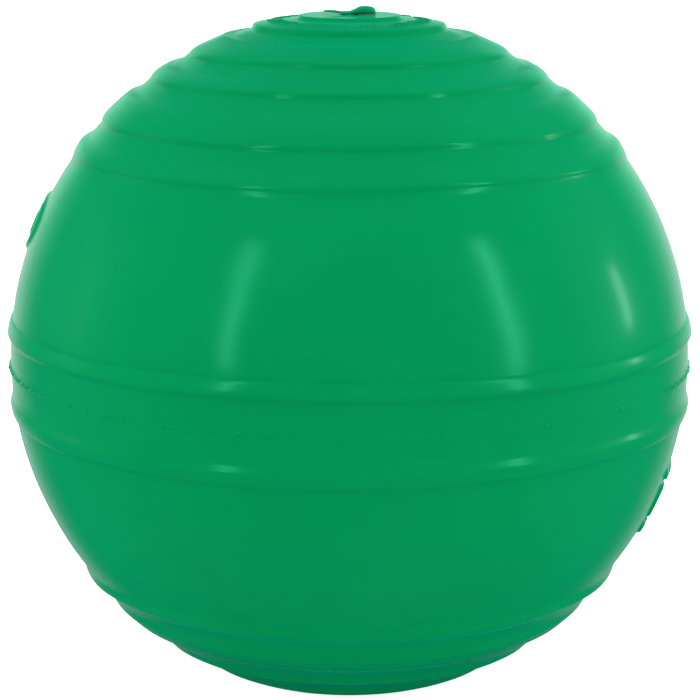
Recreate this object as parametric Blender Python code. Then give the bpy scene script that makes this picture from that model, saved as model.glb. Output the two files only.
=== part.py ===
"""Inflated rubber playground ball, standing on its lower pole, with a pull-out plug in the upper one.

Metres, +Z up. The origin is the middle of the flat disc on the lower pole, and the ball's axis is +Z.
Profiles are worked out about the ball's centre, which lies one ball radius above the origin.
"""
import math

import bmesh
import bpy

# Driving dimensions: metres, and degrees of latitude on the ball.
BALL_DIAMETER = 0.216           # over the tops of the raised bands
BAND_HEIGHT = 0.0012            # how far a raised band stands out of the cover
BAND_RISE = 1.2                 # width of a band's rounded edge on the side of the seam
BAND_FALL = 1.4                 # width of its sloping edge on the side of the pole
UPPER_BELT = (3.9, 7.9)         # the bands beside the seam, above it and below it
LOWER_BELT = (4.8, 9.6)
POLAR_BANDS = ((36.7, 40.9), (44.0, 51.5), (54.8, 59.4), (62.4, 70.9))
SEAM_HALF_WIDTH = 1.2
SEAM_HEIGHT = 0.0006
COVER_WALL = 0.0015
WINDING_WALL = 0.0004
BLADDER_WALL = 0.0008
LAYER_GAP = 0.0003              # left between neighbouring solids

POLE_PAD_FOOT = 73.2            # latitude where the low pad round the pole starts
POLE_PAD_RADIUS = 0.0296
POLE_PAD_RIM = 0.0012           # step at the pad's rim
POLE_DISC_RADIUS = 0.0157
POLE_DISC_STEP = 0.0010         # height of the flat disc above the pad

BORE_RADIUS = 0.0027            # through the valve and, a little wider, through the cover
VALVE_TUBE_RADIUS = 0.0050
VALVE_TIP_RADIUS = 0.0040
VALVE_LENGTH = 0.0220
FLANGE_RADIUS = 0.0150
FLANGE_WALL = 0.0012
PLUG_RADIUS = 0.0024
PLUG_LENGTH = 0.0185            # stem below the flat disc
TAB_HALF_LENGTH = 0.0081        # the pull tab on the plug, along X
TAB_HALF_WIDTH = 0.0030
TAB_WALL = 0.0008
TAB_LIFT = 0.00035              # clear of the flat disc over the stem
TAB_LIP_TOP = 0.00266           # top of the finger lip above the flat disc

COLUMNS = 40                    # flats round the ball
SMALL_COLUMNS = 24              # flats round the valve and the plug
ROW_STEP = 9                    # degrees of latitude between rows of a plain layer
LAST_ROW = 81
EYE_LATITUDE = 85.1             # edge of the eye that the winding leaves round the valve
TAB_STATIONS = 14
TAB_SECTION_POINTS = 12

# Derived sizes.
COVER_RADIUS = BALL_DIAMETER / 2 - BAND_HEIGHT
COVER_INNER = COVER_RADIUS - COVER_WALL
WINDING_OUTER = COVER_INNER - LAYER_GAP
WINDING_INNER = WINDING_OUTER - WINDING_WALL
BLADDER_OUTER = WINDING_INNER - LAYER_GAP
BLADDER_INNER = BLADDER_OUTER - BLADDER_WALL
HALF_EDGE = SEAM_HALF_WIDTH + math.degrees(LAYER_GAP / COVER_RADIUS)
COVER_HOLE = BORE_RADIUS + LAYER_GAP / 3
TUBE_HOLE = VALVE_TUBE_RADIUS + LAYER_GAP

GREEN = (0.0, 0.29, 0.09)
MATERIALS = {
    "cover_rubber": (GREEN, 0.28),
    "seam_rubber": (GREEN, 0.30),
    "plug_rubber": ((0.0, 0.22, 0.08), 0.38),
    "wound_thread": ((0.72, 0.70, 0.62), 0.80),
    "bladder_rubber": ((0.03, 0.03, 0.03), 0.55),
    "patch_rubber": ((0.10, 0.09, 0.08), 0.60),
    "valve_rubber": ((0.32, 0.22, 0.12), 0.50),
}


def clear_scene():
    for thing in list(bpy.data.objects):
        bpy.data.objects.remove(thing, do_unlink=True)


def make_material(name):
    colour, roughness = MATERIALS[name]
    material = bpy.data.materials.new(name)
    material.use_nodes = True
    shader = material.node_tree.nodes["Principled BSDF"]
    shader.inputs["Base Color"].default_value = (*colour, 1.0)
    shader.inputs["Roughness"].default_value = roughness
    shader.inputs["Metallic"].default_value = 0.0
    return material


def on_sphere(radius, latitude):
    """Profile point (distance from the axis, height) at a latitude of a sphere."""
    angle = math.radians(latitude)
    return radius * math.cos(angle), radius * math.sin(angle)


def at_distance(radius, rho):
    """Profile point of a sphere at a given distance from the axis, on its upper side."""
    return rho, math.sqrt(radius ** 2 - rho ** 2)


def mirrored(profile):
    return [(rho, -height) for rho, height in profile]


def finish(bm, name, material):
    """Turn the edited mesh into a smooth-shaded object at the ball's centre."""
    bmesh.ops.recalc_face_normals(bm, faces=bm.faces)
    mesh = bpy.data.meshes.new(name)
    bm.to_mesh(mesh)
    bm.free()
    mesh.shade_smooth()
    mesh.set_sharp_from_angle(angle=math.radians(30))
    mesh.materials.append(make_material(material))
    piece = bpy.data.objects.new(name, mesh)
    piece.location = (0.0, 0.0, COVER_RADIUS)
    bpy.context.scene.collection.objects.link(piece)
    return piece


def turned(name, profile, material, columns=COLUMNS, ends="loop"):
    """Turn a profile about Z. Its ends meet ("loop"), or each is closed by a flat face ("capped")."""
    bm = bmesh.new()
    turns = [2 * math.pi * column / columns for column in range(columns)]
    rings = [[bm.verts.new((rho * math.cos(turn), rho * math.sin(turn), height)) for turn in turns]
             for rho, height in profile]
    neighbours = list(zip(rings, rings[1:]))
    if ends == "loop":
        neighbours.append((rings[-1], rings[0]))
    else:
        bm.faces.new(rings[0])
        bm.faces.new(rings[-1])
    for here, there in neighbours:
        for column in range(columns):
            after = (column + 1) % columns
            bm.faces.new((here[column], here[after], there[after], there[column]))
    return finish(bm, name, material)


def layer_rows(radius, start):
    """Upward profile of a plain layer, from a starting latitude to the edge of the valve's eye."""
    rows = [start] + [row for row in range(-LAST_ROW, LAST_ROW + 1, ROW_STEP) if row > start + 1]
    return [on_sphere(radius, row) for row in rows + [EYE_LATITUDE]]


def band_profile(foot, end):
    """A raised band's section: rounded edge on the side of the seam, top, sloping edge."""
    base, top = COVER_RADIUS, COVER_RADIUS + BAND_HEIGHT
    points = [on_sphere(base, foot), on_sphere(base + 0.7 * BAND_HEIGHT, foot + 0.3 * BAND_RISE),
              on_sphere(top, foot + BAND_RISE)]
    if end - foot > 6:
        points.append(on_sphere(top, (foot + end) / 2))
    return points + [on_sphere(top, end - BAND_FALL), on_sphere(base, end)]


def cover_outside(belt):
    """Outer profile of one half of the cover, from its edge at the seam to its flat polar disc."""
    profile = [on_sphere(COVER_RADIUS, HALF_EDGE)] + band_profile(*belt)
    plain_from, plain_to = belt[1], POLAR_BANDS[0][0]
    plain_rows = 3
    for row in range(1, plain_rows + 1):
        latitude = plain_from + (plain_to - plain_from) * row / (plain_rows + 1)
        profile.append(on_sphere(COVER_RADIUS, latitude))
    for band in POLAR_BANDS:
        profile += band_profile(*band)
    foot = on_sphere(COVER_RADIUS, POLE_PAD_FOOT)
    disc_foot_height = COVER_RADIUS - POLE_DISC_STEP
    profile += [foot, (POLE_PAD_RADIUS, foot[1] + POLE_PAD_RIM - BAND_HEIGHT / 4),
                (POLE_DISC_RADIUS + POLE_DISC_STEP / 2, disc_foot_height),
                (POLE_DISC_RADIUS, COVER_RADIUS)]
    return profile


def make_cover_upper():
    outside = cover_outside(UPPER_BELT) + [(COVER_HOLE, COVER_RADIUS)]
    inside = layer_rows(COVER_INNER, HALF_EDGE) + [at_distance(COVER_INNER, COVER_HOLE)]
    return turned("cover_upper", outside + inside[::-1], "cover_rubber")


def make_cover_lower():
    outside = mirrored(cover_outside(LOWER_BELT))
    inside = mirrored(layer_rows(COVER_INNER, HALF_EDGE))
    return turned("cover_lower", outside[::-1] + inside, "cover_rubber", ends="capped")


def make_seam_strip():
    crown = COVER_RADIUS + SEAM_HEIGHT
    upper_edge = [on_sphere(COVER_RADIUS, SEAM_HALF_WIDTH), on_sphere(COVER_INNER, SEAM_HALF_WIDTH)]
    shoulder = on_sphere(crown, SEAM_HALF_WIDTH / 2)
    profile = [shoulder] + upper_edge + mirrored(upper_edge[::-1]) + mirrored([shoulder])
    return turned("seam_strip", profile, "seam_rubber")


def make_shell(name, outer_radius, inner_radius, material, hole=None):
    """A closed layer with an opening at the top for the valve."""
    outside = layer_rows(outer_radius, -EYE_LATITUDE)
    inside = layer_rows(inner_radius, -EYE_LATITUDE)
    if hole:
        outside.append(at_distance(outer_radius, hole))
        inside.append(at_distance(inner_radius, hole))
    return turned(name, outside + inside[::-1], material, ends="capped")


def make_valve_patch():
    rim = on_sphere(WINDING_INNER, EYE_LATITUDE)[0] - LAYER_GAP
    profile = [at_distance(WINDING_OUTER, TUBE_HOLE), at_distance(WINDING_OUTER, rim),
               at_distance(WINDING_INNER, rim), at_distance(WINDING_INNER, TUBE_HOLE)]
    return turned("valve_patch", profile, "patch_rubber")


def make_valve_body():
    """Tube from just under the cover down into the ball, with a domed flange inside the bladder."""
    top = at_distance(COVER_INNER, TUBE_HOLE)[1] - LAYER_GAP
    roof = BLADDER_INNER - 1.5 * LAYER_GAP
    floor = roof - FLANGE_WALL
    middle = (FLANGE_RADIUS + VALVE_TUBE_RADIUS) / 2
    flange_top = [at_distance(roof, rho) for rho in (VALVE_TUBE_RADIUS, middle, FLANGE_RADIUS)]
    flange_bottom = [at_distance(floor, rho) for rho in (FLANGE_RADIUS, middle, VALVE_TUBE_RADIUS)]
    tip = [(VALVE_TIP_RADIUS, top - VALVE_LENGTH), (BORE_RADIUS, top - VALVE_LENGTH)]
    profile = [(BORE_RADIUS, top), (VALVE_TUBE_RADIUS, top)] + flange_top + flange_bottom + tip
    return turned("valve_body", profile, "valve_rubber", SMALL_COLUMNS)


def tab_height(along):
    """Underside and top of the pull tab above the flat disc, at a place -1 to 1 along it."""
    tongue_rise = TAB_WALL / 2 * min(1.0, max(0.0, -along) / 0.6)
    underside = TAB_LIFT + tongue_rise
    lip = math.exp(-((along - 0.55) / 0.36) ** 2)
    return underside, underside + TAB_WALL + (TAB_LIP_TOP - TAB_LIFT - TAB_WALL) * lip


def make_pull_tab():
    """The tongue and finger lip on top of the plug: rounded sections along X, joined by quads."""
    bm = bmesh.new()
    rings = []
    for station in range(TAB_STATIONS + 1):
        along = math.sin(math.pi * (station / TAB_STATIONS - 0.5)) * 0.97
        half_width = TAB_HALF_WIDTH * (1 - along ** 4) ** 0.5
        underside, top = tab_height(along)
        middle, half_height = (underside + top) / 2, (top - underside) / 2
        ring = []
        for corner in range(TAB_SECTION_POINTS):
            turn = 2 * math.pi * (corner + 0.5) / TAB_SECTION_POINTS
            across = math.copysign(abs(math.cos(turn)) ** 0.6, math.cos(turn))
            up = math.copysign(abs(math.sin(turn)) ** 0.6, math.sin(turn))
            ring.append(bm.verts.new((along * TAB_HALF_LENGTH / 0.97, across * half_width,
                                      COVER_RADIUS + middle + up * half_height)))
        rings.append(ring)
    for here, there in zip(rings, rings[1:]):
        for corner in range(TAB_SECTION_POINTS):
            after = (corner + 1) % TAB_SECTION_POINTS
            bm.faces.new((here[corner], here[after], there[after], there[corner]))
    bm.faces.new(rings[0])
    bm.faces.new(rings[-1])
    tab = finish(bm, "pull_tab_shape", "plug_rubber")
    tab.hide_render = True
    tab.display_type = "WIRE"
    return tab


def make_valve_plug():
    """Stem with a rounded tip, united with its pull tab. It slides out along Z."""
    tip = COVER_RADIUS - PLUG_LENGTH
    into_tab = COVER_RADIUS + TAB_LIFT + TAB_WALL / 2
    arc = [math.radians(step) for step in (15, 40, 65)]
    rounded = [(PLUG_RADIUS * math.sin(turn), tip + PLUG_RADIUS * (1 - math.cos(turn))) for turn in arc]
    profile = rounded + [(PLUG_RADIUS, tip + PLUG_RADIUS), (PLUG_RADIUS, into_tab)]
    plug = turned("valve_plug", profile, "plug_rubber", SMALL_COLUMNS, ends="capped")
    union = plug.modifiers.new("add pull tab", "BOOLEAN")
    union.operation = "UNION"
    union.object = make_pull_tab()
    return plug


def main():
    clear_scene()
    make_cover_upper()
    make_cover_lower()
    make_seam_strip()
    make_shell("thread_winding", WINDING_OUTER, WINDING_INNER, "wound_thread")
    make_shell("bladder", BLADDER_OUTER, BLADDER_INNER, "bladder_rubber", hole=TUBE_HOLE)
    make_valve_patch()
    make_valve_body()
    make_valve_plug()


main()
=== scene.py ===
"""Looks of the playground ball: fine moulded rubber surfaces, materials, studio and camera."""
import math

import bpy
import numpy as np
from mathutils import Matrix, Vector


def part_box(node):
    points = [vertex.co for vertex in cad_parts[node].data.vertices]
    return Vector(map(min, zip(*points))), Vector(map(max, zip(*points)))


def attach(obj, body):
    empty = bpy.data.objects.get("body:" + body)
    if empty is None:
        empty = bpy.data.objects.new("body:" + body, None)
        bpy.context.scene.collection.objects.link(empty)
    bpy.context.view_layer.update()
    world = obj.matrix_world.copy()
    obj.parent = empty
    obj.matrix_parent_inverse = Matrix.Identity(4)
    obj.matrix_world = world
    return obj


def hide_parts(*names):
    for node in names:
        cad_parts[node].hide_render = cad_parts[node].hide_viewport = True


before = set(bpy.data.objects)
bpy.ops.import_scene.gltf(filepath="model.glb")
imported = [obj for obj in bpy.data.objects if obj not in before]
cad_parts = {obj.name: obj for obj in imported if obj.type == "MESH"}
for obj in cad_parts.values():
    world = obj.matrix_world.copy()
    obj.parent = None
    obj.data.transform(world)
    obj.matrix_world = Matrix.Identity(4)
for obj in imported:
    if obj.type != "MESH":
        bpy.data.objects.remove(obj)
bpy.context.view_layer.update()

MM = 0.001

# Sizes read from the frame.
COVER_LOW, COVER_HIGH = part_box("cover_lower")[0].z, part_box("cover_upper")[1].z
RADIUS = (COVER_HIGH - COVER_LOW) / 2
CENTRE = Vector((0, 0, COVER_LOW + RADIUS))
WINDING_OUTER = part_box("thread_winding")[1].x
BLADDER_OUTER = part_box("bladder")[1].x
SEAM_HALF = math.degrees(math.asin(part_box("seam_strip")[1].z / RADIUS - 1))
PLUG_LOW, PLUG_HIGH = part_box("valve_plug")
VALVE_LOW, VALVE_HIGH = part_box("valve_body")
PATCH_LOW, PATCH_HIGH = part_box("valve_patch")

# The walls, and the cover's raised bands; latitudes in degrees from the seam.
COVER_INNER = WINDING_OUTER + 0.3 * MM
WINDING_WALL = 0.4 * MM
BLADDER_WALL = 0.8 * MM
BAND_HEIGHT = 1.2 * MM
UPPER_BELT = (4.1, 7.7)
LOWER_BELT = (4.9, 9.1)
POLAR_BANDS = ((36.6, 40.8), (43.9, 51.6), (54.7, 59.4), (62.3, 70.5))
LOWER_BANDS = ((36.6, 41.5), (43.3, 51.9), (54.5, 59.7), (61.9, 70.7))
UPPER_SHARE, LOWER_SHARE = 1.22, 1.28    # height of the polar bands, as a share of BAND_HEIGHT

# Spacing of the cover's rows, in degrees.
CRISP_PITCH = 0.07         # at the foot of an upper band's edge on the side of the seam
BELT_PITCH = 0.09          # at a belt's foot on the side of the pole
SEAM_SIDE_PITCH = 0.24     # over an edge on the side of the seam
POLE_SIDE_PITCH = 0.28     # over an edge on the side of the pole, and across a mark
PLAIN_PITCH = 1.4

# Spacing of the cover's columns, in degrees: across a mark, and elsewhere.
MARK_TURN, PLAIN_TURN = 0.32, 1.2

# The pad and the flat disc round each pole: the pad's latitude, then distances from the axis.
PAD_FOOT = 73.2
PAD_RIM = 29.4 * MM
PAD_LIFT = (0.15 * MM, 1.6 * MM)         # above the round of the cover, by the disc and at the rim
DISC_FOOT = 16.5 * MM
DISC_RIM = 15.4 * MM
STROKE_CIRCLE = 23.2 * MM
HOLE = 2.8 * MM
BORE = 2.7 * MM
STEM = 2.4 * MM

# The parting ridge: degrees below the middle of the strip, and its greatest height.
RIDGE_DROP = 0.62
RIDGE_TOP = 0.95 * MM
# Nibs beside the ridge on the front, in degrees from its middle, and how many more lie anywhere.
FRONT_NIBS = (-41.4, -39.6, -37.3, -35.9, -31.3, -29.8, -28.2, -12.3, 62.6, 66.2)
OTHER_NIBS = 40

# ---------------------------------------------------------------- curves and fields

def smooth(value):
    """0 to 1 with soft ends."""
    value = np.clip(value, 0.0, 1.0)
    return value * value * (3 - 2 * value)


def wander(longitude, seed, size):
    """Slow, repeatable variation round the ball, in the unit of size."""
    rng = np.random.default_rng(seed)
    total = np.zeros_like(longitude)
    for turns in (1, 2, 3, 5, 8, 13):
        total += math.sqrt(1 / turns) * np.sin(turns * longitude + rng.uniform(0, 6.28))
    return size * total / 1.8


def rounded(value, foot=0.25):
    """Rises steeply from 0 and rounds over to 1, like a quarter of an ellipse with a filleted foot."""
    return np.sqrt(1 - (1 - np.clip(value, 0.0, 1.0)) ** 2) * smooth(value / foot)


def crest(latitude, end):
    """A band's top: highest beside its edge on the side of the pole, falling gently towards the seam."""
    return 1 - 0.18 * smooth((end - latitude - 0.9) / 2.2)


def wear(longitude):
    """1 over the front, where the polar bands' edges are softest, and 0 from the sides round the back."""
    return smooth((-np.sin(longitude) - 0.15) / 0.55)


def upper_bands(latitude, worn):
    """Height of the raised bands as a share of BAND_HEIGHT: crisp edges face the seam, soft ones the pole.

    Each edge is divided by its width in degrees.
    """
    start, end = UPPER_BELT
    height = smooth((latitude - start) / 1.1) * rounded((end - latitude) / 2.8, 0.1)
    for start, end in POLAR_BANDS:
        crisp = rounded((latitude - start) / 1.9, 0.12 + 0.33 * worn)
        soft = smooth((end + 0.6 - latitude) / (2.6 + 2.2 * worn))
        height = np.maximum(height, UPPER_SHARE * (crisp * soft) * crest(latitude, end))
    return height


def lower_bands(latitude, worn):
    """The same below the seam, where both edges of the polar bands are soft."""
    start, end = LOWER_BELT
    height = smooth((latitude - start) / 1.9) * rounded((end - latitude) / 2.6)
    for start, end in LOWER_BANDS:
        rise = smooth((latitude - start) / (2.0 + 0.8 * worn))
        fall = smooth((end - latitude) / (2.2 + 1.6 * worn))
        height = np.maximum(height, LOWER_SHARE * (rise * fall))
    return height


def sway(latitude, longitude):
    """How far the moulded bands wander from true circles, in degrees."""
    lat = np.radians(latitude)
    waves = (np.sin(2 * longitude + 3 * lat) + np.sin(3 * longitude - 5 * lat + 1.1)
             + 0.6 * np.sin(5 * longitude + 8 * lat + 2.3) + 0.5 * np.sin(9 * longitude - 11 * lat + 0.7))
    ends = smooth((latitude - SEAM_HALF) / 3) * smooth((PAD_FOOT - latitude) / 3)
    return 0.09 * waves * ends


def ripple(latitude, longitude):
    """The slight unevenness of moulded rubber, in metres."""
    lat, lon = np.radians(latitude), longitude
    broad = (np.sin(9 * lat + 4 * lon) + np.sin(-7 * lat + 6 * lon + 1.3)
             + np.sin(15 * lat + 3 * lon + 0.4) + 0.6 * np.sin(4 * lat - 17 * lon + 2.1))
    close = (np.sin(31 * lat + 12 * lon + 0.3) + np.sin(-27 * lat + 19 * lon + 1.9)
             + np.sin(13 * lat - 29 * lon + 0.8) + np.sin(41 * lat - 7 * lon + 2.6))
    return (0.030 * broad + 0.011 * close) * MM * np.cos(lat) ** 2


def bar(u, v, centre, half, radius, turn=0.0):
    """Distance to a rounded bar, negative inside."""
    cos, sin = math.cos(turn), math.sin(turn)
    x, y = u - centre[0], v - centre[1]
    x, y = x * cos + y * sin, y * cos - x * sin
    return np.hypot(x, y - np.clip(y, -half, half)) - radius


def raised(distance, height, edge):
    """Height of a mark where distance to it is negative, with an edge of the given width."""
    return height * smooth(-distance / edge + 0.5)


def mark_plane(latitude, longitude, at):
    """Flat coordinates, in metres, round a place on the ball."""
    turn = (np.degrees(longitude) - at[1] + 180) % 360 - 180
    u = np.radians(turn) * math.cos(math.radians(at[0])) * RADIUS
    return u, np.radians(latitude - at[0]) * RADIUS


# Latitude and longitude of the moulded marks.
UPPER_MARK = (23.7, -180.0)
LOWER_MARK = (23.0, 0.0)


def oval_mark(latitude, longitude):
    """A low oval swelling with a raised ring and three plain bars on it."""
    u, v = mark_plane(latitude, longitude, UPPER_MARK)
    inside = np.hypot(u / 1.85, v)
    distance = np.abs(inside - 8.6 * MM) - 0.7 * MM
    for offset, half in ((-6.4, 2.4), (0.0, 4.4), (6.4, 2.4)):
        distance = np.minimum(distance, bar(u, v, (offset * MM, 0), half * MM, 1.2 * MM))
    return raised(inside - 9.0 * MM, 0.62 * MM, 2.8 * MM) + raised(distance, 0.42 * MM, 0.6 * MM)


def block_mark(latitude, longitude):
    """Two rows of studs with a row of plain bars between them, on low swellings."""
    u, v = mark_plane(latitude, longitude, LOWER_MARK)
    distance = np.full_like(u, 1.0)
    swelling = np.full_like(u, 1.0)
    for row in (-9.6, 9.6):
        for stud in range(-4, 5):
            centre = (stud * 6.4 * MM, row * MM)
            distance = np.minimum(distance, bar(u, v, centre, 0.0, 1.9 * MM))
        swelling = np.minimum(swelling, bar(v, u, (row * MM, 0), 25.6 * MM, 2.0 * MM))
    for number in range(-3, 4):
        half = (2.6 + 1.5 * (number % 2)) * MM
        distance = np.minimum(distance, bar(u, v, (number * 8.4 * MM, 0), half, 1.6 * MM))
    swelling = np.minimum(swelling, np.maximum(np.abs(u) - 27 * MM, np.abs(v) - 5.6 * MM))
    return raised(swelling, 0.42 * MM, 2.2 * MM) + raised(distance, 0.62 * MM, 0.6 * MM)


# Groups of strokes on the pad: first and last longitude and pitch in degrees, height and half length in mm.
STROKE_GROUPS = ((180, 223, 3.6, 0.42, 2.0), (229, 259, 4.8, 0.28, 1.9), (271, 291, 4.8, 0.28, 1.7),
                 (304, 346, 3.6, 0.42, 2.0), (355, 388, 4.8, 0.30, 1.8), (402, 438, 4.2, 0.36, 1.9),
                 (452, 484, 4.8, 0.30, 1.8), (496, 530, 4.2, 0.36, 1.9))


def ring_marks(rho, longitude):
    """Groups of short raised strokes between the flat disc and the pad's rim."""
    turn = np.degrees(longitude) % 360
    height = np.zeros_like(turn)
    for group, (start, end, pitch, tall, half) in enumerate(STROKE_GROUPS):
        distance = np.full_like(turn, 1.0)
        for stroke, place in enumerate(np.arange(start, end, pitch)):
            u = np.radians((turn - place + 180) % 360 - 180) * STROKE_CIRCLE
            lean = (0.34, 0.30, -0.16, 0.42, 0.0)[(3 * stroke + group) % 5]
            share = (1.0, 0.65, 1.0, 0.75, 0.9)[(2 * stroke + group) % 5]
            line = bar(u, rho - STROKE_CIRCLE, (0, 0), half * share * MM, 0.42 * MM, lean)
            distance = np.minimum(distance, line)
        height = np.maximum(height, raised(distance, tall * MM, 0.45 * MM))
    return height


# ---------------------------------------------------------------- mesh building

def steps(start, end, pitch):
    """Values from start to end, with a pitch that depends on the place."""
    values = [start]
    while values[-1] < end - pitch(values[-1]) * 1.4:
        values.append(values[-1] + pitch(values[-1]))
    return np.array(values + [end])


def to_mesh(name, vertices, faces, slot, body, nodes, sharp=35):
    """Make a piece with its material, ride it on its body and let it stand for its CAD nodes."""
    mesh = bpy.data.meshes.new(name)
    mesh.from_pydata([tuple(v) for v in vertices], [], faces)
    mesh.validate()
    mesh.shade_smooth()
    mesh.set_sharp_from_angle(angle=math.radians(sharp))
    piece = bpy.data.objects.new(name, mesh)
    bpy.context.scene.collection.objects.link(piece)
    mesh.materials.append(MATERIALS[slot]())
    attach(piece, body)
    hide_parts(*nodes)


def sheet_faces(rows, columns, first=0, closed_rows=False):
    """Quads of a grid that runs round in its columns and, if asked, in its rows."""
    faces = []
    for row in range(rows if closed_rows else rows - 1):
        here, there = first + row * columns, first + (row + 1) % rows * columns
        for column in range(columns):
            after = (column + 1) % columns
            faces.append((here + column, here + after, there + after, there + column))
    return faces


def turned(name, profile, columns, slot, nodes):
    """Turn a closed profile about Z: (distance, height) points, running so that the outside is right."""
    turns = np.linspace(0, 2 * np.pi, columns, endpoint=False)
    vertices = [(rho * math.cos(turn), rho * math.sin(turn), height)
                for rho, height in profile for turn in turns]
    to_mesh(name, vertices, sheet_faces(len(profile), columns, closed_rows=True), slot, "ball", nodes)


def rounded_profile(corners, radii, points=5):
    """A closed profile with its corners rounded by arcs."""
    result = []
    count = len(corners)
    for index, (corner, radius) in enumerate(zip(corners, radii)):
        here = Vector(corner)
        before = (Vector(corners[index - 1]) - here).normalized()
        after = (Vector(corners[(index + 1) % count]) - here).normalized()
        half = before.angle(after) / 2
        reach = radius / math.tan(half)
        middle = here + (before + after).normalized() * (radius / math.sin(half))
        first, last = here + before * reach - middle, here + after * reach - middle
        for step in range(points):
            share = step / (points - 1)
            arm = (first * (1 - share) + last * share).normalized() * radius
            result.append(tuple(middle + arm))
    return result


# ---------------------------------------------------------------- the cover

def column_turns(mark_longitude, mark_half):
    """Longitudes of the grid's columns, closer together across a raised mark."""
    def pitch(turn):
        offset = abs((turn - mark_longitude + 180) % 360 - 180)
        return MARK_TURN if offset < mark_half else PLAIN_TURN
    return np.radians(steps(0.0, 360.0, pitch)[:-1])


def row_pitch(belt, mark_rows, crisp):
    """Spacing of the cover's rows by latitude: closer together at the bands' edges and across the mark."""
    def pitch(latitude):
        for start, end in (belt, *POLAR_BANDS):
            if crisp and -0.05 <= latitude - start < 0.3:
                return CRISP_PITCH
            if (start, end) == belt and -0.05 <= end - latitude < 0.3:
                return BELT_PITCH
            if -0.3 <= latitude - start < 2.1:
                return SEAM_SIDE_PITCH
            if -0.3 <= end - latitude < 2.4:
                return POLE_SIDE_PITCH
        return POLE_SIDE_PITCH if mark_rows[0] < latitude < mark_rows[1] else PLAIN_PITCH
    return pitch


def cap_pitch(rho):
    """Spacing of the rows on the pad and the disc: closest at their rims, close across the strokes."""
    if 28.8 * MM < rho or DISC_RIM - 0.3 * MM < rho < DISC_FOOT + 0.2 * MM:
        return 0.14 * MM
    if 18.6 * MM < rho < 28.0 * MM:
        return 0.30 * MM
    return 0.9 * MM if rho > 4 * MM else 0.25 * MM


def cover_outside(turns, belt, bands, mark, mark_rows, last_rho):
    """Grid of points of one half's outside, from the seam to last_rho at the pole, with its centre at 0."""
    latitudes = steps(SEAM_HALF, PAD_FOOT, row_pitch(belt, mark_rows, bands is upper_bands))
    latitude, longitude = np.meshgrid(latitudes, turns, indexing="ij")
    radius = RADIUS + BAND_HEIGHT * bands(latitude, wear(longitude))
    latitude = latitude + sway(latitude, longitude)
    radius += ripple(latitude, longitude) * smooth((latitude - SEAM_HALF) / 3) + mark(latitude, longitude)
    lat = np.radians(latitude)
    rho, height = radius * np.cos(lat), radius * np.sin(lat)

    foot = RADIUS * math.cos(math.radians(PAD_FOOT))
    distances = -steps(-foot, -last_rho, lambda value: cap_pitch(-value))[1:]
    cap_rho, cap_turn = np.meshgrid(distances, turns, indexing="ij")
    lift = np.interp(cap_rho, (DISC_FOOT, PAD_RIM), PAD_LIFT)
    rim = foot + wander(cap_turn, 31, 0.10 * MM)
    pad = np.sqrt(RADIUS ** 2 - cap_rho ** 2) + lift * smooth((rim - cap_rho) / (foot - PAD_RIM))
    pad += ring_marks(cap_rho, cap_turn)
    on_disc = smooth((DISC_FOOT - cap_rho) / (DISC_FOOT - DISC_RIM))
    cap_height = pad * (1 - on_disc) + RADIUS * on_disc

    rho = np.vstack([rho, cap_rho])
    height = np.vstack([height, cap_height])
    longitude = np.vstack([longitude, cap_turn])
    return np.stack([rho * np.cos(longitude), rho * np.sin(longitude), height], axis=-1)


def sphere_rows(radius, latitudes, turns):
    """Grid of points on a sphere with its centre at 0."""
    lat, longitude = np.meshgrid(np.radians(latitudes), turns, indexing="ij")
    return radius * np.stack([np.cos(lat) * np.cos(longitude), np.cos(lat) * np.sin(longitude),
                              np.sin(lat)], axis=-1)


def make_cover_upper():
    turns = column_turns(UPPER_MARK[1], 11.0)
    outside = cover_outside(turns, UPPER_BELT, upper_bands, oval_mark, (17.6, 29.8), HOLE + 0.3 * MM)
    inner_top = math.degrees(math.acos(HOLE / COVER_INNER))
    inside = sphere_rows(COVER_INNER, [inner_top, *range(84, 3, -4), SEAM_HALF], turns)
    lip = inside[:1].copy()
    lip[..., 2] = RADIUS - 0.35 * MM
    grid = np.concatenate([outside, lip, inside])
    grid[..., 2] += CENTRE.z
    rows, columns = grid.shape[:2]
    faces = sheet_faces(rows, columns, closed_rows=True)
    to_mesh("upper_cover", grid.reshape(-1, 3), faces, "cover_rubber", "ball", ["cover_upper"])


def make_cover_lower():
    turns = column_turns(LOWER_MARK[1], 18.5)
    outside = cover_outside(turns, LOWER_BELT, lower_bands, block_mark, (16.6, 29.4), 1.0 * MM)
    inside = sphere_rows(COVER_INNER, [89, *range(84, 3, -4), SEAM_HALF], turns)
    grid = np.concatenate([outside[::-1], inside[::-1]]) * (1, 1, -1)
    grid[..., 2] += CENTRE.z
    rows, columns = grid.shape[:2]
    faces = sheet_faces(rows, columns)
    last = (rows - 1) * columns
    faces.append(tuple(reversed(range(columns))))
    faces.append(tuple(range(last, last + columns)))
    to_mesh("lower_cover", grid.reshape(-1, 3), faces, "cover_rubber", "ball", ["cover_lower"])


FRONT = -90.0


def from_front(longitude):
    """Degrees round the ball from the middle of its front, positive towards +X."""
    return (np.degrees(longitude) - FRONT + 180) % 360 - 180


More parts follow.
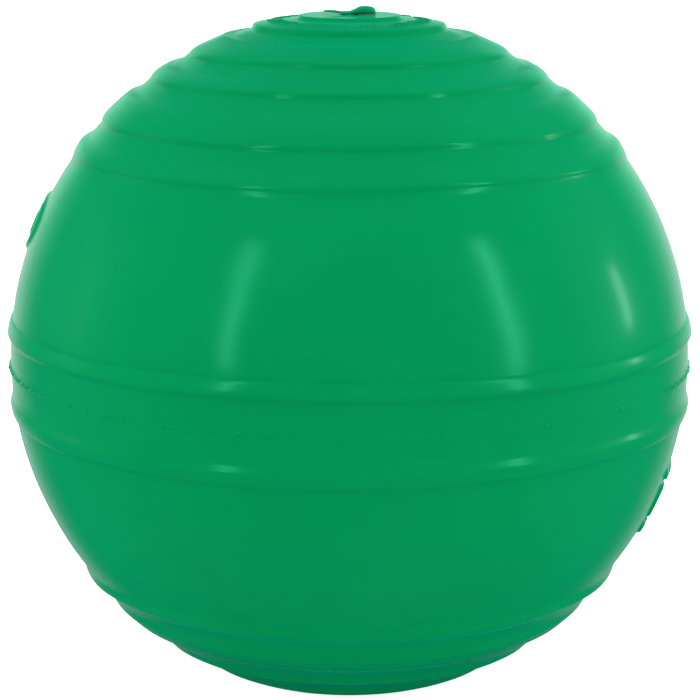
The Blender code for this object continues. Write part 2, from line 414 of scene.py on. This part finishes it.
def make_seam():
    """The strip over the joint, with the thin ridge that the mould leaves, trimmed off over the front."""
    turns = np.radians(np.arange(0, 360, 0.2))
    latitudes = np.concatenate([[-1.0], np.linspace(-0.94, -0.14, 19), np.linspace(0, 1, 4)]) * SEAM_HALF
    latitude, longitude = np.meshgrid(latitudes, turns, indexing="ij")
    side = from_front(turns)
    rough = np.random.default_rng(5).uniform(0, 1, len(turns))
    rough = (rough + np.roll(rough, 1) + 0.6 * np.roll(rough, 2)) / 2.6
    untrimmed = smooth((np.abs(side) - 54) / 12)
    ridge = 0.025 + 0.035 * rough + untrimmed * (0.30 + 0.60 * rough)
    rng = np.random.default_rng(6)
    nibs = np.zeros(len(turns))
    for place in (*rng.uniform(-180, 180, OTHER_NIBS), *FRONT_NIBS):
        gap = np.abs((side - place + 180) % 360 - 180)
        nibs += rng.uniform(0.25, 0.5) * np.clip(1 - gap / 0.5, 0, 1)
    ridge = (ridge + np.clip(nibs, 0, 0.5)) * MM
    middle = wander(longitude, 41, 0.07) - RIDGE_DROP + 0.12 * untrimmed * (rough - 0.5)
    across = np.abs(latitude - middle) / (0.26 + 0.10 * untrimmed)
    height = np.clip(ridge * np.clip(1 - across ** 1.6, 0, 1), 0, RIDGE_TOP)
    outside = (RADIUS + height)[..., None] * sphere_rows(1.0, latitudes, turns)
    inside = sphere_rows(COVER_INNER, [SEAM_HALF, 0, -SEAM_HALF], turns)
    grid = np.concatenate([outside, inside])
    grid[..., 2] += CENTRE.z
    rows, columns = grid.shape[:2]
    faces = sheet_faces(rows, columns, closed_rows=True)
    to_mesh("seam", grid.reshape(-1, 3), faces, "seam_rubber", "ball", ["seam_strip"], sharp=50)


# ---------------------------------------------------------------- the plug

def tab_section(along):
    """Underside, top and half width of the pull tab at a place -1 to 1 along it."""
    if along < -0.12:
        underside = 0.20 + 0.62 * float(smooth((-along - 0.12) / 0.75))
        top = underside + 0.66 + 0.10 * math.sin(along * 9)
    else:
        rise = float(smooth((along + 0.12) / 0.48))
        underside = 0.10
        top = 0.86 + 1.80 * rise
    end = max(0.0, 1 - abs(along) ** (7 if along > 0 else 16)) ** 0.5
    half_width = 2.1 + 0.7 * float(smooth((along + 0.2) / 0.5))
    middle = (underside + top) / 2
    half_height = (top - underside) / 2 * (0.35 + 0.65 * end)
    if along > 0:
        middle = underside + half_height
    return (middle - half_height) * MM, (middle + half_height) * MM, half_width * (0.25 + 0.75 * end) * MM


def make_plug():
    """Stem, and on it the tongue and the hollowed finger lip."""
    top = COVER_HIGH
    half_length = (PLUG_HIGH.x - PLUG_LOW.x) / 2
    stations, around = 64, 28
    vertices = []
    for station in range(stations):
        along = math.sin(math.pi * (station / (stations - 1) - 0.5)) * 0.995
        low, high, half_width = tab_section(along)
        for corner in range(around):
            turn = 2 * math.pi * corner / around
            across = math.copysign(abs(math.cos(turn)) ** 0.7, math.cos(turn))
            up = math.copysign(abs(math.sin(turn)) ** 0.7, math.sin(turn))
            x = along * half_length
            z = top + (low + high) / 2 + up * (high - low) / 2
            hollow = 0.45 * MM * math.exp(-((along - 0.22) / 0.16) ** 2) * max(0.0, up)
            vertices.append((x, across * (half_width - hollow), z - hollow))
    tab = sheet_faces(stations, around)
    tab.append(tuple(range(around)))
    tab.append(tuple(range((stations - 1) * around, stations * around))[::-1])
    tab = [face[::-1] for face in tab]
    tip = PLUG_LOW.z
    arc = np.radians(np.linspace(12, 90, 9))
    profile = [(STEM * math.sin(a), tip + STEM * (1 - math.cos(a))) for a in arc]
    for ring in range(3):
        foot = tip + (4.2 + 2.6 * ring) * MM
        profile += [(STEM, foot - 0.9 * MM), (STEM + 0.18 * MM, foot), (STEM, foot + 0.25 * MM)]
    profile.append((STEM, top + 0.8 * MM))
    columns = 48
    first = len(vertices)
    for rho, height in profile:
        for column in range(columns):
            turn = 2 * math.pi * column / columns
            vertices.append((rho * math.cos(turn), rho * math.sin(turn), height))
    stem = sheet_faces(len(profile), columns, first)
    stem.append(tuple(range(first, first + columns))[::-1])
    stem.append(tuple(range(first + (len(profile) - 1) * columns, first + len(profile) * columns)))
    to_mesh("plug", vertices, tab + stem, "plug_rubber", "plug", ["valve_plug"])


# ---------------------------------------------------------------- what is inside

def make_shell(name, outer, wall, hole, columns, slot, node):
    """A hollow ball with a hole at its top."""
    top = math.degrees(math.acos(hole / outer))
    turns = np.linspace(0, 2 * np.pi, columns, endpoint=False)
    latitudes = np.linspace(-88.5, top, 120)
    outside = sphere_rows(outer, latitudes, turns)
    inside = sphere_rows(outer - wall, latitudes[::-1][::4], turns)
    grid = np.concatenate([outside, inside])
    grid[..., 2] += CENTRE.z
    rows = grid.shape[0]
    faces = sheet_faces(rows, columns)
    faces.append(tuple(reversed(range(columns))))
    last = (rows - 1) * columns
    faces.append(tuple(range(last, last + columns)))
    to_mesh(name, grid.reshape(-1, 3), faces, slot, "ball", [node])


def make_winding():
    make_shell("winding", WINDING_OUTER, WINDING_WALL, 8.9 * MM, 240, "wound_thread", "thread_winding")


def make_bladder():
    make_shell("air_bladder", BLADDER_OUTER, BLADDER_WALL, 5.3 * MM, 180, "bladder_rubber", "bladder")


def make_patch():
    corners = [(5.3 * MM, PATCH_LOW.z), (PATCH_HIGH.x, PATCH_LOW.z),
               (PATCH_HIGH.x, PATCH_HIGH.z - 0.2 * MM), (5.3 * MM, PATCH_HIGH.z)]
    profile = rounded_profile(corners, [0.1 * MM] * 4)
    turned("patch", profile, 96, "patch_rubber", ["valve_patch"])


def make_valve():
    top, tip, flange = VALVE_HIGH.z, VALVE_LOW.z, VALVE_HIGH.x
    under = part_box("bladder")[1].z - BLADDER_WALL - 0.6 * MM
    rim = under - 1.1 * MM
    corners = [(BORE, tip), (4.0 * MM, tip), (5.0 * MM, under - 1.9 * MM),
               (flange - 1.5 * MM, rim - 0.8 * MM), (flange, rim - 0.6 * MM), (flange, rim + 0.1 * MM),
               (5.0 * MM, under), (5.0 * MM, top), (BORE, top)]
    radii = [0.2 * MM, 1.0 * MM, 1.2 * MM, 0.4 * MM, 0.2 * MM, 0.3 * MM, 0.4 * MM, 0.4 * MM, 0.3 * MM]
    turned("valve", rounded_profile(corners, radii), 96, "valve_rubber", ["valve_body"])


# ---------------------------------------------------------------- materials

class Nodes:
    """Short way to write a material's node tree."""

    def __init__(self, name):
        self.material = bpy.data.materials.new(name)
        self.material.use_nodes = True
        self.tree = self.material.node_tree
        self.shader = self.tree.nodes["Principled BSDF"]
        place = self.add("ShaderNodeTexCoord")
        self.place = place.outputs["Object"]

    def add(self, kind, **settings):
        node = self.tree.nodes.new(kind)
        for name, value in settings.items():
            setattr(node, name, value)
        return node

    def feed(self, socket, value):
        if isinstance(value, bpy.types.NodeSocket):
            self.tree.links.new(value, socket)
        else:
            socket.default_value = value

    def noise(self, scale, detail=4.0, roughness=0.55, distortion=0.0):
        node = self.add("ShaderNodeTexNoise")
        self.feed(node.inputs["Vector"], self.place)
        for name, value in (("Scale", scale), ("Detail", detail), ("Roughness", roughness),
                            ("Distortion", distortion)):
            node.inputs[name].default_value = value
        return node.outputs["Fac"]

    def spread(self, value, low, high, start=0.0, end=1.0):
        node = self.add("ShaderNodeMapRange", clamp=True)
        for name, item in (("Value", value), ("From Min", low), ("From Max", high),
                           ("To Min", start), ("To Max", end)):
            self.feed(node.inputs[name], item)
        return node.outputs["Result"]

    def math(self, operation, first, second=0.0):
        node = self.add("ShaderNodeMath", operation=operation)
        self.feed(node.inputs[0], first)
        self.feed(node.inputs[1], second)
        return node.outputs[0]

    def mix(self, share, first, second):
        node = self.add("ShaderNodeMix", data_type="RGBA")
        self.feed(node.inputs["Factor"], share)
        self.feed(node.inputs[6], first)
        self.feed(node.inputs[7], second)
        return node.outputs[2]

    def bump(self, height, strength, distance):
        node = self.add("ShaderNodeBump")
        node.inputs["Strength"].default_value = strength
        node.inputs["Distance"].default_value = distance
        self.feed(node.inputs["Height"], height)
        self.feed(self.shader.inputs["Normal"], node.outputs["Normal"])

    def set(self, **values):
        """Feed the shader's sockets by name, with _ for a space."""
        for name, value in values.items():
            self.feed(self.shader.inputs[name.replace("_", " ")], value)
        return self.material


GREEN = (0.0, 0.212, 0.0575, 1.0)
DEEP_GREEN = (0.0, 0.201, 0.0545, 1.0)
GLOSS_TINT = (0.12, 0.9, 0.66, 1.0)
SHEEN_TINT = (0.0, 1.0, 0.7, 1.0)
COVER_ROUGHNESS = 0.17


def green_rubber(name, light, deep, roughness):
    """Glossy moulded rubber: faint mottling, mould grain, and a duller bloom in patches."""
    m = Nodes(name)
    mottle = m.noise(26, 5, 0.6)
    colour = m.mix(m.spread(mottle, 0.35, 0.68), deep, light)
    bloom = m.spread(m.noise(9, 3, 0.5, 0.6), 0.40, 0.75)
    rough = m.math("ADD", m.math("MULTIPLY", bloom, 0.05), roughness)
    grain = m.math("ADD", m.noise(900, 3, 0.6), m.math("MULTIPLY", m.noise(150, 2, 0.5), 1.5))
    m.bump(grain, 0.05, 0.0001)
    return m.set(Base_Color=colour, Roughness=rough, IOR=1.5, Specular_IOR_Level=0.5,
                 Specular_Tint=GLOSS_TINT, Sheen_Weight=0.16, Sheen_Roughness=0.6, Sheen_Tint=SHEEN_TINT)


def cover_rubber():
    return green_rubber("cover_rubber", GREEN, DEEP_GREEN, COVER_ROUGHNESS)


def seam_rubber():
    return green_rubber("seam_rubber", GREEN, DEEP_GREEN, COVER_ROUGHNESS)


def plug_rubber():
    return green_rubber("plug_rubber", (0.0, 0.27, 0.09, 1), (0.0, 0.20, 0.07, 1), 0.32)


def wound_thread():
    """Off-white nylon thread laid in many directions, with painted shade darkening the grooves between the
    strands.
    """
    m = Nodes("wound_thread")
    height = None
    for number, tilt in enumerate(((0.2, 0.1, 0.3), (1.1, 0.5, -0.4), (-0.7, 1.2, 0.9), (0.4, -1.0, 1.8))):
        turn = m.add("ShaderNodeMapping", vector_type="POINT")
        m.feed(turn.inputs["Vector"], m.place)
        turn.inputs["Rotation"].default_value = tilt
        wave = m.add("ShaderNodeTexWave", bands_direction="X")
        m.feed(wave.inputs["Vector"], turn.outputs["Vector"])
        wave.inputs["Scale"].default_value = 260 + 17 * number
        wave.inputs["Distortion"].default_value = 1.5
        share = m.spread(m.noise(14 + 3 * number, 1, 0.4), 0.45, 0.55)
        layer = m.math("MULTIPLY", wave.outputs["Fac"], share)
        height = layer if height is None else m.math("MAXIMUM", height, layer)
    # Painted shade: the thread is darker where the strands lie low, in the grooves between them, following
    # the bump's height.
    colour = m.mix(height, (0.42, 0.39, 0.31, 1), (0.80, 0.77, 0.68, 1))
    m.bump(height, 0.8, 0.0006)
    return m.set(Base_Color=colour, Roughness=m.spread(height, 0, 1, 0.85, 0.6), Sheen_Weight=0.3)


def plain_rubber(name, light, dark, roughness, grain_scale):
    """Dull rubber in blotches, with chalky patches and a grain."""
    m = Nodes(name)
    patches = m.spread(m.noise(40, 5, 0.6), 0.35, 0.7)
    chalk = m.spread(m.noise(16, 4, 0.65, 0.8), 0.48, 0.72)
    colour = m.mix(patches, dark, light)
    rough = m.math("ADD", m.math("MULTIPLY", chalk, 0.2), roughness)
    m.bump(m.noise(grain_scale, 4, 0.6), 0.25, 0.0003)
    return m.set(Base_Color=colour, Roughness=rough)


def bladder_rubber():
    return plain_rubber("bladder_rubber", (0.045, 0.044, 0.043, 1), (0.018, 0.018, 0.018, 1), 0.42, 420)


def patch_rubber():
    return plain_rubber("patch_rubber", (0.13, 0.115, 0.10, 1), (0.07, 0.062, 0.055, 1), 0.5, 700)


def valve_rubber():
    return plain_rubber("valve_rubber", (0.40, 0.28, 0.155, 1), (0.27, 0.18, 0.09, 1), 0.38, 600)


MATERIALS = {"cover_rubber": cover_rubber, "seam_rubber": seam_rubber, "plug_rubber": plug_rubber,
             "wound_thread": wound_thread, "bladder_rubber": bladder_rubber,
             "patch_rubber": patch_rubber, "valve_rubber": valve_rubber}


# ---------------------------------------------------------------- studio

CAMERA_ELEVATION = 12.3
CAMERA_DISTANCE = 7.416 * RADIUS
CAMERA_LENS = 128.0
CAMERA_SHIFT = (0.00063, 0.00299)
WORLD_LIGHT = 1.2
BACKDROP_GLOSS = 1.35
BACKDROP_COLOUR = (0.62, 0.66, 0.64, 1.0)
BACKDROP_ABOVE = (0.40, 1.0, 0.70, 1.0)
FLOOR_HALF = 12.0
FLOOR_DROP = 0.2 * MM
FLOOR_GLOW = 0.85

# Name, azimuth, elevation, width, height, watts, distance, and whether gloss shows the lamp.
LAMPS = (("left_strip", -39.4, 24, 0.09, 0.80, 1.10, 1.2, True),
         ("right_strip", 53.0, 21, 0.09, 0.80, 1.45, 1.2, True),
         ("right_window", 102.6, 9, 0.045, 0.28, 0.34, 1.2, True),
         ("left_window", -99, 9, 0.16, 0.36, 0.03, 1.2, True),
         ("left_side", -105, 10, 1.2, 1.2, 18.0, 2.0, False),
         ("right_side", 105, 10, 1.2, 1.2, 18.0, 2.0, False),
         ("front_fill", 0, 3, 2.0, 1.0, 6.0, 2.0, False),
         ("overhead", 0, 89, 2.0, 2.0, 7.0, 2.0, False))


def direction(azimuth, elevation):
    """Unit vector from the ball: azimuth 0 is towards the camera, positive to its right."""
    a, e = math.radians(azimuth), math.radians(elevation)
    return Vector((math.sin(a) * math.cos(e), -math.cos(a) * math.cos(e), math.sin(e)))


def aim(thing, at):
    thing.rotation_mode = "QUATERNION"
    thing.rotation_quaternion = (at - thing.location).to_track_quat("-Z", "Y")


def make_camera():
    data = bpy.data.cameras.new("camera")
    data.sensor_width = 36
    data.lens = CAMERA_LENS
    data.shift_x, data.shift_y = CAMERA_SHIFT
    camera = bpy.data.objects.new("camera", data)
    camera.location = CENTRE + direction(0, CAMERA_ELEVATION) * CAMERA_DISTANCE
    aim(camera, CENTRE)
    data.clip_start, data.clip_end = 0.01, 100
    bpy.context.scene.collection.objects.link(camera)
    bpy.context.scene.camera = camera


def make_lamp(name, azimuth, elevation, width, height, power, distance, glossy):
    data = bpy.data.lights.new(name, "AREA")
    data.shape = "RECTANGLE"
    data.size, data.size_y = width, height
    data.energy = power
    lamp = bpy.data.objects.new(name, data)
    lamp.location = CENTRE + direction(azimuth, elevation) * distance
    aim(lamp, CENTRE)
    lamp.visible_glossy = glossy
    lamp.visible_camera = False
    bpy.context.scene.collection.objects.link(lamp)


def make_world():
    """Even white light. Gloss sees a backdrop behind the ball instead, green above the horizon and paler
    below it, that fades out towards the sides, upwards and downwards, sooner in the middle than beside it."""
    world = bpy.data.worlds.new("studio")
    bpy.context.scene.world = world
    world.cycles.sampling_method = "NONE"
    world.use_nodes = True
    tree = world.node_tree
    tree.nodes.clear()
    add, link = tree.nodes.new, tree.links.new
    place = add("ShaderNodeTexCoord")
    axes = add("ShaderNodeSeparateXYZ")
    link(place.outputs["Generated"], axes.inputs[0])

    def join(operation, *values):
        node = add("ShaderNodeMath")
        node.operation = operation
        for socket, value in zip(node.inputs, values):
            link(value, socket)
        return node.outputs[0]

    def fade(value, start, end, low, high):
        node = add("ShaderNodeMapRange")
        node.interpolation_type = "SMOOTHSTEP"
        link(value, node.inputs["Value"])
        for name, item in (("From Min", start), ("From Max", end), ("To Min", low), ("To Max", high)):
            node.inputs[name].default_value = item
        return node.outputs["Result"]

    across, back, up = axes.outputs
    aside = join("ABSOLUTE", across)
    beside_shadow = join("MAXIMUM", fade(aside, 0.05, 0.38, 0, 1), fade(up, -0.42, -0.2, 0, 1))
    low = fade(up, -0.85, -0.1, 0, 1)
    high = join("MULTIPLY", fade(aside, 0.05, 0.3, 0, 1), fade(up, -0.1, 0.7, 1, 0))
    high = join("MAXIMUM", high, fade(up, -0.1, 0.33, 1, 0))
    backdrop = fade(back, 0.62, 1.0, 0, BACKDROP_GLOSS)
    for part in (beside_shadow, low, high):
        backdrop = join("MULTIPLY", backdrop, part)
    rays = add("ShaderNodeLightPath")
    strength = add("ShaderNodeMix")
    strength.inputs[2].default_value = WORLD_LIGHT
    link(rays.outputs["Is Glossy Ray"], strength.inputs[0])
    link(backdrop, strength.inputs[3])
    colour = add("ShaderNodeMix")
    colour.data_type = "RGBA"
    colour.inputs[6].default_value = (1, 1, 1, 1)
    tone = add("ShaderNodeMix")
    tone.data_type = "RGBA"
    link(fade(up, -0.1, 0.15, 0, 1), tone.inputs[0])
    tone.inputs[6].default_value = BACKDROP_COLOUR
    tone.inputs[7].default_value = BACKDROP_ABOVE
    link(tone.outputs[2], colour.inputs[7])
    link(rays.outputs["Is Glossy Ray"], colour.inputs[0])
    light = add("ShaderNodeBackground")
    link(colour.outputs[2], light.inputs["Color"])
    link(strength.outputs[0], light.inputs["Strength"])
    out = add("ShaderNodeOutputWorld")
    link(light.outputs[0], out.inputs["Surface"])


def make_floor():
    """A pale floor that glows for the camera alone, so that it shows as plain white."""
    mesh = bpy.data.meshes.new("floor")
    corners = [(x * FLOOR_HALF, y * FLOOR_HALF, 0) for x, y in ((-1, -1), (1, -1), (1, 1), (-1, 1))]
    mesh.from_pydata(corners, [], [(0, 1, 2, 3)])
    floor = bpy.data.objects.new("floor", mesh)
    floor.location.z = -FLOOR_DROP
    m = Nodes("floor")
    shade = m.spread(m.noise(3, 3), 0.3, 0.7)
    glow = m.math("MULTIPLY", m.add("ShaderNodeLightPath").outputs["Is Camera Ray"], FLOOR_GLOW)
    m.set(Base_Color=m.mix(shade, (0.79, 0.79, 0.79, 1), (0.81, 0.81, 0.81, 1)), Roughness=0.9,
          Specular_IOR_Level=0.1, Emission_Color=(1, 1, 1, 1), Emission_Strength=glow)
    mesh.materials.append(m.material)
    floor.visible_glossy = False
    bpy.context.scene.collection.objects.link(floor)


def make_studio():
    make_world()
    make_floor()
    for lamp in LAMPS:
        make_lamp(*lamp)
    bpy.context.scene.view_settings.view_transform = "Standard"


make_camera()
make_studio()
make_cover_upper()
make_cover_lower()
make_seam()
make_plug()
make_winding()
make_bladder()
make_patch()
make_valve()
